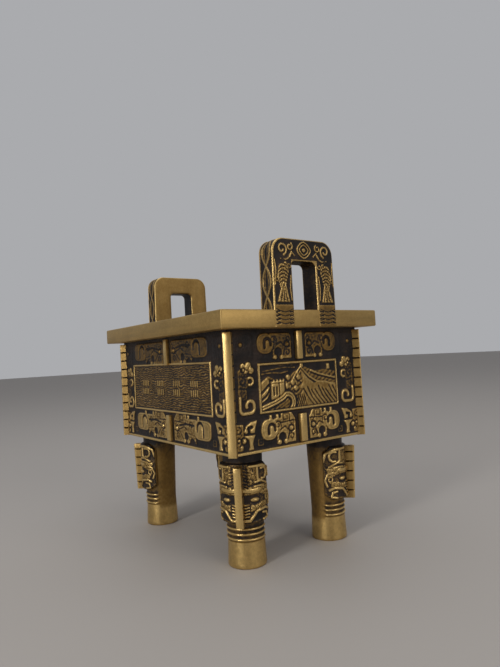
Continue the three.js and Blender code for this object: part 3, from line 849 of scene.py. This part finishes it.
def ear_section():
    """Stations round an ear's section: share across from hole to outer edge, depth, and side."""
    edge = 0.9
    wide = EAR_BASE_HALF - HOLE_HALF
    turn = np.radians(np.linspace(0, 90, 5))[1:-1]
    face = np.linspace(edge, wide - edge, 38)
    side = np.linspace(edge, EAR_THICK - edge, 26)
    plain = np.linspace(wide - edge, edge, 7)
    hole = np.linspace(EAR_THICK - edge, edge, 7)
    nose = edge * (1 - np.sin(turn)), edge * (1 - np.cos(turn))
    parts = [
        (face, 0 * face, CARVED_FACE), (wide - nose[0], nose[1], ROUNDING),
        (0 * side + wide, side, CHAINED_SIDE), (wide - nose[1], EAR_THICK - nose[0], ROUNDING),
        (plain, 0 * plain + EAR_THICK, PLAIN_FACE), (nose[0], EAR_THICK - nose[1], ROUNDING),
        (0 * hole, hole, HOLE_WALL), (nose[1], nose[0], ROUNDING),
    ]
    across = np.concatenate([part[0] for part in parts]) / wide
    depth = np.concatenate([part[1] for part in parts])
    kind = np.concatenate([np.full(len(part[0]), part[2]) for part in parts])
    return across, depth, kind


def ear(name, quarter, materials):
    """One ear: a tall loop with round shoulders whose limbs run down the end of the rim."""
    outer, inner = ear_rows()
    across, depth, kind = ear_section()
    columns, rows = len(across), len(outer) - 1
    piece = keep(name, closed_tube(columns, rows), materials)
    column, row = tube_grid(coordinates(piece.data), columns, rows)
    share = across[:, None, None]
    plane = inner[None] * (1 - share) + outer[None] * share
    step = np.gradient(outer, axis=0)
    step /= np.linalg.norm(step, axis=1)[:, None]
    normal = np.stack([step[:, 1], -step[:, 0]], axis=1)
    run = np.concatenate([[0], np.cumsum(np.linalg.norm(np.diff(outer, axis=0), axis=1))])
    mirrored_run = np.minimum(run, run[-1] - run)
    face_height = ear_carving(plane[..., 0], plane[..., 1])
    run_grid, depth_grid = np.meshgrid(mirrored_run, depth, indexing="xy")
    chain_height = ear_chain(run_grid, depth_grid)
    on_face, on_side = (kind == CARVED_FACE)[:, None], (kind == CHAINED_SIDE)[:, None]
    above = ramp(plane[..., 1] - RIM_TOP - 0.3, 0.4)
    lift = np.where(on_face, face_height, 0)
    push = np.where(on_side, chain_height * above, 0)
    side_wear = np.where(on_side, wear(chain_height + CHAIN_RELIEF, CHAIN_RELIEF) * 0.75, 0.62)
    worn = np.where(on_face, wear(face_height, EAR_RELIEF) * 0.8, side_wear)
    # Painted shade: the hole's inner wall is kept dark, for the shade that the light from above leaves in it.
    worn = np.where((kind == HOLE_WALL)[:, None], 0.2, worn)
    worn = np.where((kind == ROUNDING)[:, None], 0.85, worn)
    plane = plane + push[..., None] * normal[None]
    side, up, out = wall_axes(quarter)
    u, v = plane[column, row, 0], plane[column, row, 1]
    w = EAR_OUTER + lift[column, row] - depth[column]
    places = np.outer(u, side) + np.outer(v, up) + np.outer(w, out)
    shape_up(piece, places, worn[column, row])
    paint_ear(piece, out)
    smooth(piece, 50)


def paint_ear(piece, out):
    """The ear's inner face is brushed plain; everything else keeps the carved finish."""
    mesh = piece.data
    normals = np.empty(len(mesh.polygons) * 3)
    mesh.polygons.foreach_get("normal", normals)
    inward = normals.reshape(-1, 3) @ out < -0.9
    mesh.polygons.foreach_set("material_index", inward.astype(np.int32))


# ------------------------------------------------------------ vessel and bars
def block(size, centre):
    """A plain block of a size about a centre."""
    bm = bmesh.new()
    bmesh.ops.create_cube(bm, size=1)
    bmesh.ops.scale(bm, vec=size, verts=bm.verts)
    bmesh.ops.translate(bm, vec=centre, verts=bm.verts)
    return bm


def bevel(bm, edges, width, segments):
    bmesh.ops.bevel(
        bm, geom=edges, offset=width, segments=segments, profile=0.5, affect="EDGES", material=-1,
    )


def resized(verts, x, y):
    """Moves the corners of a level face to plus or minus x and y."""
    for vert in verts:
        vert.co.x = math.copysign(x, vert.co.x)
        vert.co.y = math.copysign(y, vert.co.y)


def raised_face(bm, face, rise):
    """Extrudes one face straight up and returns the new face."""
    new = bmesh.ops.extrude_face_region(bm, geom=[face])["geom"]
    top = next(item for item in new if isinstance(item, bmesh.types.BMFace))
    bmesh.ops.translate(bm, vec=(0, 0, rise), verts=top.verts)
    bmesh.ops.delete(bm, geom=[face], context="FACES_ONLY")
    return top


def edges_where(bm, test):
    return [edge for edge in bm.edges if test((edge.verts[0].co + edge.verts[1].co) / 2, edge)]


def is_upright(edge):
    return abs((edge.verts[0].co - edge.verts[1].co).normalized().z) > 0.9


def hollow_block():
    """The box and its wide rim, stepped out and sunk from one block."""
    under = BOX_LOW + 0.2
    size = (2 * (BOX_HALF_X - BOX_INSET), 2 * (BOX_HALF_Y - BOX_INSET), RIM_LOW - under)
    bm = block(size, (0, 0, (RIM_LOW + under) / 2))
    bm.normal_update()
    top = raised_face(bm, max(bm.faces, key=lambda face: face.calc_center_median().z), 0)
    resized(top.verts, RIM_HALF_X, RIM_HALF_Y)
    top = raised_face(bm, top, RIM_TOP - RIM_LOW)
    inner = raised_face(bm, top, 0)
    resized(inner.verts, BOX_HALF_X - BOX_WALL, BOX_HALF_Y - BOX_WALL)
    raised_face(bm, inner, FLOOR_TOP - RIM_TOP)
    bm.normal_update()
    return bm


def within_box(at, margin):
    return abs(at.x) < BOX_HALF_X - margin and abs(at.y) < BOX_HALF_Y - margin


def vessel(materials):
    """The hollow box with its wide flat rim, one wall thickness all round."""
    bm = hollow_block()
    outer_rim = edges_where(bm, lambda at, edge: (
        all(abs(v.co.x) > RIM_HALF_X - 0.1 and v.co.z > RIM_LOW - 0.1 for v in edge.verts)
    ))
    bevel(bm, outer_rim, RIM_EDGE, 3)
    cavity = edges_where(bm, lambda at, edge: is_upright(edge) and within_box(at, 3) and at.z > FLOOR_TOP)
    bevel(bm, cavity, CAVITY_CORNER, 4)
    bevel(bm, edges_where(bm, lambda at, edge: abs(at.z - FLOOR_TOP) < 0.01), FLOOR_EDGE, 3)
    mouth = edges_where(bm, lambda at, edge: (
        abs(at.z - RIM_TOP) < 0.01 and within_box(at, 3)
        and len(edge.link_faces) == 2 and edge.calc_face_angle(0) > 1
    ))
    bevel(bm, mouth, MOUTH_EDGE, 2)
    for face in bm.faces:
        at = face.calc_center_median()
        hollow = within_box(at, BOX_WALL - 0.1) and at.z < RIM_TOP - 0.7
        face.material_index = 1 if hollow or at.z < RIM_LOW - 0.1 else 0
    bmesh.ops.recalc_face_normals(bm, faces=bm.faces)
    bmesh.ops.scale(bm, vec=(MM, MM, MM), verts=bm.verts)
    smooth(keep("box_and_rim", bm, materials), 35)


def place_bar(name, bm, worn, place, materials):
    """Moves a bar from millimetres to its place on the casting and gives its corners their wear."""
    bmesh.ops.transform(bm, matrix=Matrix.Scale(MM, 4) @ place, verts=bm.verts)
    bmesh.ops.recalc_face_normals(bm, faces=bm.faces)
    piece = keep(name, bm, materials)
    set_wear_and_shade(piece.data, worn)
    smooth(piece, 30)


def notched_bar(bar, depth, skin=1.0, wide=1.1, deep=0.9):
    """A bar standing on its low end, root at y = 0, with V notches in both sides behind its outer skin."""
    size = (bar["thick"], depth, bar["top"] - bar["low"])
    bm = block(size, (0, depth / 2, (bar["top"] + bar["low"]) / 2))
    outer = edges_where(bm, lambda at, edge: (
        at.y > depth - 0.01 or at.z > bar["top"] - 0.01 and at.y > 0.01
    ))
    bevel(bm, outer, BAR_EDGE, 2)
    middles = [bar["first"] + i * bar["pitch"] for i in range(bar["count"])]
    cuts = [((0, depth - skin, 0), (0, 1, 0))]
    cuts += [((0, 0, m + step), (0, 0, 1)) for m in middles for step in (-wide / 2, 0, wide / 2)]
    for point, normal in cuts:
        geom = bm.verts[:] + bm.edges[:] + bm.faces[:]
        bmesh.ops.bisect_plane(bm, geom=geom, plane_co=point, plane_no=normal, dist=1e-5)
    notch = {
        v for v in bm.verts
        if v.co.y < depth - skin + 0.01 and min(abs(v.co.z - m) for m in middles) < 0.01
        and abs(abs(v.co.x) - bar["thick"] / 2) < 0.01
    }
    for vert in notch:
        vert.co.x -= math.copysign(deep, vert.co.x)
    proud = [min(max((v.co.y - depth + skin) / skin, 0), 1) for v in bm.verts]
    return bm, [0.0 if v in notch else 0.62 + 0.38 * share for v, share in zip(bm.verts, proud)]


def corner_bar(name, x, y, materials, root=3.0):
    """A notched bar that stands out along the diagonal of one of the box's corners."""
    bm, worn = notched_bar(CORNER_BAR, root + CORNER_BAR["proud"])
    turn = Matrix.Rotation(math.atan2(y, x) - math.pi / 2, 4, "Z")
    corner = Matrix.Translation((math.copysign(BOX_HALF_X, x), math.copysign(BOX_HALF_Y, y), 0))
    place_bar(name, bm, worn, corner @ turn @ Matrix.Translation((0, -root, 0)), materials)


def leg_bar(name, x, y, materials):
    """The bar that is the mask's nose. It leans in towards the foot."""
    inner = LEG_WAIST - 1
    depth = LEG_BAR_TOP - inner
    bm, worn = notched_bar(LEG_BAR, depth, skin=1.6)
    for vert in bm.verts:
        rise = (vert.co.z - LEG_BAR["low"]) / (LEG_BAR["top"] - LEG_BAR["low"])
        vert.co.y *= (LEG_BAR_LOW + (LEG_BAR_TOP - LEG_BAR_LOW) * rise - inner) / depth
    diagonal = math.atan2(math.copysign(1, y), math.copysign(1, x))
    turn = Matrix.Rotation(diagonal - math.pi / 2, 4, "Z")
    place = Matrix.Translation((x, y, 0)) @ turn @ Matrix.Translation((0, inner, 0))
    place_bar(name, bm, worn, place, materials)


def middle_bar(name, quarter, distance, half_wide, low, top, materials):
    """A short plain bar between the two dragons of a band, flat in front with broken edges."""
    proud, root = 2.0, 0.7
    centre = (0, -distance - (proud - root) / 2, (top + low) / 2)
    bm = block((2 * half_wide, proud + root, top - low), centre)
    bevel(bm, edges_where(bm, lambda at, edge: at.y < -distance), BAR_EDGE, 2)
    worn = [0.3 if v.co.y > -distance - 0.5 else 0.95 for v in bm.verts]
    place_bar(name, bm, worn, Matrix.Rotation(quarter * math.pi / 2, 4, "Z"), materials)


# ------------------------------------------------------------ finishes
def tone(red, green, blue):
    """A display colour, 0 to 255, as the linear colour that a shader takes."""
    return tuple(((c / 255 + 0.055) / 1.055) ** 2.4 for c in (red, green, blue)) + (1.0,)


BRIGHT_BRASS = tone(226, 194, 128)
DULL_BRASS = tone(148, 118, 68)
DARK_PATINA = tone(30, 27, 27)
BROWN_PATINA = tone(56, 44, 38)
TABLE = tone(176, 171, 166)
ROOM_SHADE = tone(78, 70, 64)
ROOM_LIGHT = tone(170, 171, 174)
PALE_SIDE = (-0.81, 0.58, 0.25)


def put(tree, kind, values=None, **settings):
    """Adds a node, sets its options, and sets or links its inputs."""
    made = tree.nodes.new(kind)
    for key, value in settings.items():
        setattr(made, key, value)
    for key, value in (values or {}).items():
        if isinstance(value, bpy.types.NodeSocket):
            tree.links.new(value, made.inputs[key])
        else:
            made.inputs[key].default_value = value
    return made


def blend(tree, share, low, high, way="MIX"):
    """Mixes two colours."""
    values = {0: share, 6: low, 7: high}
    return put(tree, "ShaderNodeMix", values, data_type="RGBA", blend_type=way).outputs[2]


def between(tree, share, low, high):
    """Mixes two numbers."""
    return put(tree, "ShaderNodeMix", {0: share, 2: low, 3: high}, data_type="FLOAT").outputs[0]


def sums(tree, operation, first, second, third=0.0):
    return put(tree, "ShaderNodeMath", {0: first, 1: second, 2: third}, operation=operation).outputs[0]


def remap(tree, value, start, end, low=0.0, high=1.0, way="LINEAR"):
    """Stretches the range from start to end over the range from low to high."""
    values = {0: value, 1: start, 2: end, 3: low, 4: high}
    return put(tree, "ShaderNodeMapRange", values, interpolation_type=way).outputs[0]


def grain(tree, where, scale, detail=3.0):
    """Noise, its scale in waves to the metre."""
    return put(tree, "ShaderNodeTexNoise", {"Vector": where, "Scale": scale, "Detail": detail}).outputs[0]


def new_group(name, inputs, outputs):
    """An empty node group, its inputs' sockets and its results' sockets."""
    group = bpy.data.node_groups.new(name, "ShaderNodeTree")
    for label, kind, value in inputs:
        socket = group.interface.new_socket(name=label, in_out="INPUT", socket_type=kind)
        socket.default_value = value
    for label, kind in outputs:
        group.interface.new_socket(name=label, in_out="OUTPUT", socket_type=kind)
    return group, group.nodes.new("NodeGroupInput").outputs, group.nodes.new("NodeGroupOutput").inputs


def patina_group():
    """Brass that keeps dark patina where it is sunk and rubs bright where it stands proud."""
    number = "NodeSocketFloat"
    group, given, result = new_group(
        "patina_on_brass",
        [("Worn", number, 0.5), ("Uneven", number, 0.3)],
        [("Color", "NodeSocketColor"), ("Roughness", number), ("Metallic", number), ("Height", number)],
    )
    where = put(group, "ShaderNodeTexCoord").outputs["Object"]
    broad = grain(group, where, 90)
    blotch = grain(group, where, 520, 4)
    fine = grain(group, where, 2600, 2)
    mixed = sums(group, "MULTIPLY_ADD", broad, 0.5, sums(group, "MULTIPLY", blotch, 0.5))
    shift = sums(group, "MULTIPLY", sums(group, "SUBTRACT", mixed, 0.5), given["Uneven"])
    worn = sums(group, "ADD", given["Worn"], sums(group, "MULTIPLY", shift, 2.4))
    opened = remap(group, worn, 0.18, 0.52, way="SMOOTHSTEP")
    rubbed = remap(group, worn, 0.45, 1.0, way="SMOOTHSTEP")
    ground = blend(group, remap(group, broad, 0.42, 0.68), DARK_PATINA, BROWN_PATINA)
    speck = remap(group, fine, 0.3, 0.7, 0.86, 1.08)
    metal = blend(group, 1.0, blend(group, rubbed, DULL_BRASS, BRIGHT_BRASS), speck, "MULTIPLY")
    group.links.new(blend(group, opened, ground, metal), result["Color"])
    rough = between(group, rubbed, 0.52, 0.33)
    rough = sums(group, "MULTIPLY_ADD", blotch, 0.16, sums(group, "SUBTRACT", rough, 0.07))
    group.links.new(rough, result["Roughness"])
    group.links.new(between(group, opened, 0.45, 1.0), result["Metallic"])
    height = sums(group, "MULTIPLY_ADD", fine, 0.5, sums(group, "MULTIPLY", blotch, 0.5))
    group.links.new(height, result["Height"])
    return group


def brushing_group():
    """Fine parallel scratches along one direction of the piece."""
    group, given, result = new_group(
        "brushing",
        [("Stretch", "NodeSocketVector", (1, 1, 1))],
        [("Height", "NodeSocketFloat"), ("Streak", "NodeSocketFloat")],
    )
    where = put(group, "ShaderNodeTexCoord").outputs["Object"]
    values = {0: where, 1: given["Stretch"]}
    drawn = put(group, "ShaderNodeVectorMath", values, operation="MULTIPLY").outputs[0]
    group.links.new(grain(group, drawn, 1800), result["Height"])
    group.links.new(grain(group, drawn, 396, 2.0), result["Streak"])
    return group


PATINA = patina_group()
BRUSHING = brushing_group()


def brass(name, worn=None, uneven=0.3, bump=0.25, brushed=None):
    """A brass finish. Without a worn value it reads the wear, with its painted shade, that its piece carries.
    """
    material = bpy.data.materials.new(name)
    material.use_nodes = True
    tree = material.node_tree
    tree.nodes.clear()
    if worn is None:
        worn = put(tree, "ShaderNodeAttribute", attribute_name="worn").outputs["Fac"]
    aged = put(tree, "ShaderNodeGroup", {"Worn": worn, "Uneven": uneven}, node_tree=PATINA)
    colour, rough, height = aged.outputs["Color"], aged.outputs["Roughness"], aged.outputs["Height"]
    if brushed:
        strokes = put(tree, "ShaderNodeGroup", {"Stretch": brushed}, node_tree=BRUSHING)
        height, streak = strokes.outputs["Height"], strokes.outputs["Streak"]
        colour = blend(tree, 1.0, colour, remap(tree, streak, 0.3, 0.7, 0.88, 1.06), "MULTIPLY")
        rough = sums(tree, "MULTIPLY_ADD", streak, 0.12, rough)
    relief = put(tree, "ShaderNodeBump", {"Height": height, "Strength": bump, "Distance": 0.00025}).outputs[0]
    shader = put(tree, "ShaderNodeBsdfPrincipled", {
        "Base Color": colour, "Roughness": rough, "Metallic": aged.outputs["Metallic"], "Normal": relief,
    })
    put(tree, "ShaderNodeOutputMaterial", {"Surface": shader.outputs[0]})
    return material


# ------------------------------------------------------------ camera, floor and light
def direction(azimuth, elevation):
    """Unit vector from the casting towards an azimuth from its front and an elevation, in degrees."""
    a, e = math.radians(azimuth), math.radians(elevation)
    return Vector((math.sin(a) * math.cos(e), -math.cos(a) * math.cos(e), math.sin(e)))


def camera():
    """Stands a little below the rim, off the box's near corner, and looks slightly up."""
    back = direction(CAMERA["azimuth"], CAMERA["elevation"])
    roll = math.radians(CAMERA["roll"])
    right = (-back).cross(Vector((0, 0, 1))).normalized()
    up = right.cross(-back)
    tilted_right = math.cos(roll) * right + math.sin(roll) * up
    tilted_up = math.cos(roll) * up - math.sin(roll) * right
    made = shown("camera", bpy.data.cameras.new("camera"))
    made.data.lens = CAMERA["lens"]
    made.data.sensor_width = 36
    made.data.clip_start = 0.01
    stand = back * CAMERA["distance"] + tilted_right * CAMERA["right"] + tilted_up * CAMERA["up"]
    made.location = Vector((0, 0, CAMERA["aim"])) + stand
    made.rotation_euler = Matrix((tilted_right, tilted_up, back)).transposed().to_euler()
    bpy.context.scene.camera = made


def floor():
    """A wide plain pale table top."""
    bm = bmesh.new()
    bmesh.ops.create_grid(bm, x_segments=1, y_segments=1, size=6)
    mesh = bpy.data.meshes.new("table_top")
    bm.to_mesh(mesh)
    bm.free()
    material = bpy.data.materials.new("pale_table")
    material.use_nodes = True
    shader = material.node_tree.nodes["Principled BSDF"]
    shader.inputs["Base Color"].default_value = TABLE
    shader.inputs["Roughness"].default_value = 0.6
    mesh.materials.append(material)
    shown("table_top", mesh)


def soft_light(name, azimuth, elevation, distance, size, power, colour):
    """A large flat lamp, of a width and a height, that faces the box's middle."""
    lamp = bpy.data.lights.new(name, "AREA")
    lamp.shape = "RECTANGLE"
    lamp.size, lamp.size_y = size
    lamp.energy = power
    lamp.color = colour
    made = shown(name, lamp)
    back = direction(azimuth, elevation)
    made.location = Vector((0, 0, 0.09)) + back * distance
    made.rotation_euler = back.to_track_quat("Z", "Y").to_euler()


def lights():
    """Two windows, a ceiling and a room that is pale behind the casting and dim in front."""
    soft_light("window_left", 17, 22, 1.3, (0.2, 1.0), 6.5, (1.0, 0.98, 0.95))
    soft_light("window_right", 100, 20, 1.4, (0.7, 0.7), 4.0, (1.0, 0.95, 0.88))
    soft_light("ceiling", 40, 80, 1.3, (1.3, 1.3), 6.0, (0.97, 0.98, 1.0))
    world = bpy.data.worlds.new("room")
    world.use_nodes = True
    tree = world.node_tree
    way = put(tree, "ShaderNodeTexCoord").outputs["Generated"]
    values = {0: way, 1: PALE_SIDE}
    facing = put(tree, "ShaderNodeVectorMath", values, operation="DOT_PRODUCT").outputs["Value"]
    share = remap(tree, facing, -0.5, 0.5, way="SMOOTHSTEP")
    tree.links.new(blend(tree, share, ROOM_SHADE, ROOM_LIGHT), tree.nodes["Background"].inputs["Color"])
    bpy.context.scene.world = world
    bpy.context.scene.view_settings.view_transform = "Standard"


# ------------------------------------------------------------ the casting, dressed
def dress():
    """Builds every piece of the casting in its finish."""
    carved = brass("carved_brass", uneven=0.28, bump=0.35)
    satin = brass("satin_rim_brass", worn=0.72, uneven=0.12, bump=0.12, brushed=(0.06, 0.06, 1.0))
    inside = brass("unpolished_cast_brass", worn=0.42, uneven=0.5, bump=0.5)
    polished = brass("rubbed_bar_brass", uneven=0.14, bump=0.15)
    inner_ear = brass("brushed_ear_brass", worn=0.6, uneven=0.16, bump=0.15, brushed=(1.0, 1.0, 0.06))
    vessel([satin, inside])
    for quarter, side in enumerate(("front", "right", "back", "left")):
        wall, distance = (SHORT, BOX_HALF_X) if quarter % 2 else (LONG, BOX_HALF_Y)
        carved_wall(side + "_wall_carving", wall, quarter, distance, [carved])
        for band, half_wide, low, top in MIDDLE_BARS:
            middle_bar(side + band, quarter, distance, half_wide, low, top, [polished])
    for place, x, y in (
        ("front_right", 1, -1), ("front_left", -1, -1), ("back_right", 1, 1), ("back_left", -1, 1),
    ):
        leg(place + "_leg", x * LEG_X, y * LEG_Y, [carved])
        leg_bar(place + "_leg_bar", x * LEG_X, y * LEG_Y, [polished])
        corner_bar(place + "_corner_bar", x, y, [polished])
    ear("right_ear", 1, [carved, inner_ear])
    ear("left_ear", 3, [carved, inner_ear])


camera()
floor()
lights()
dress()
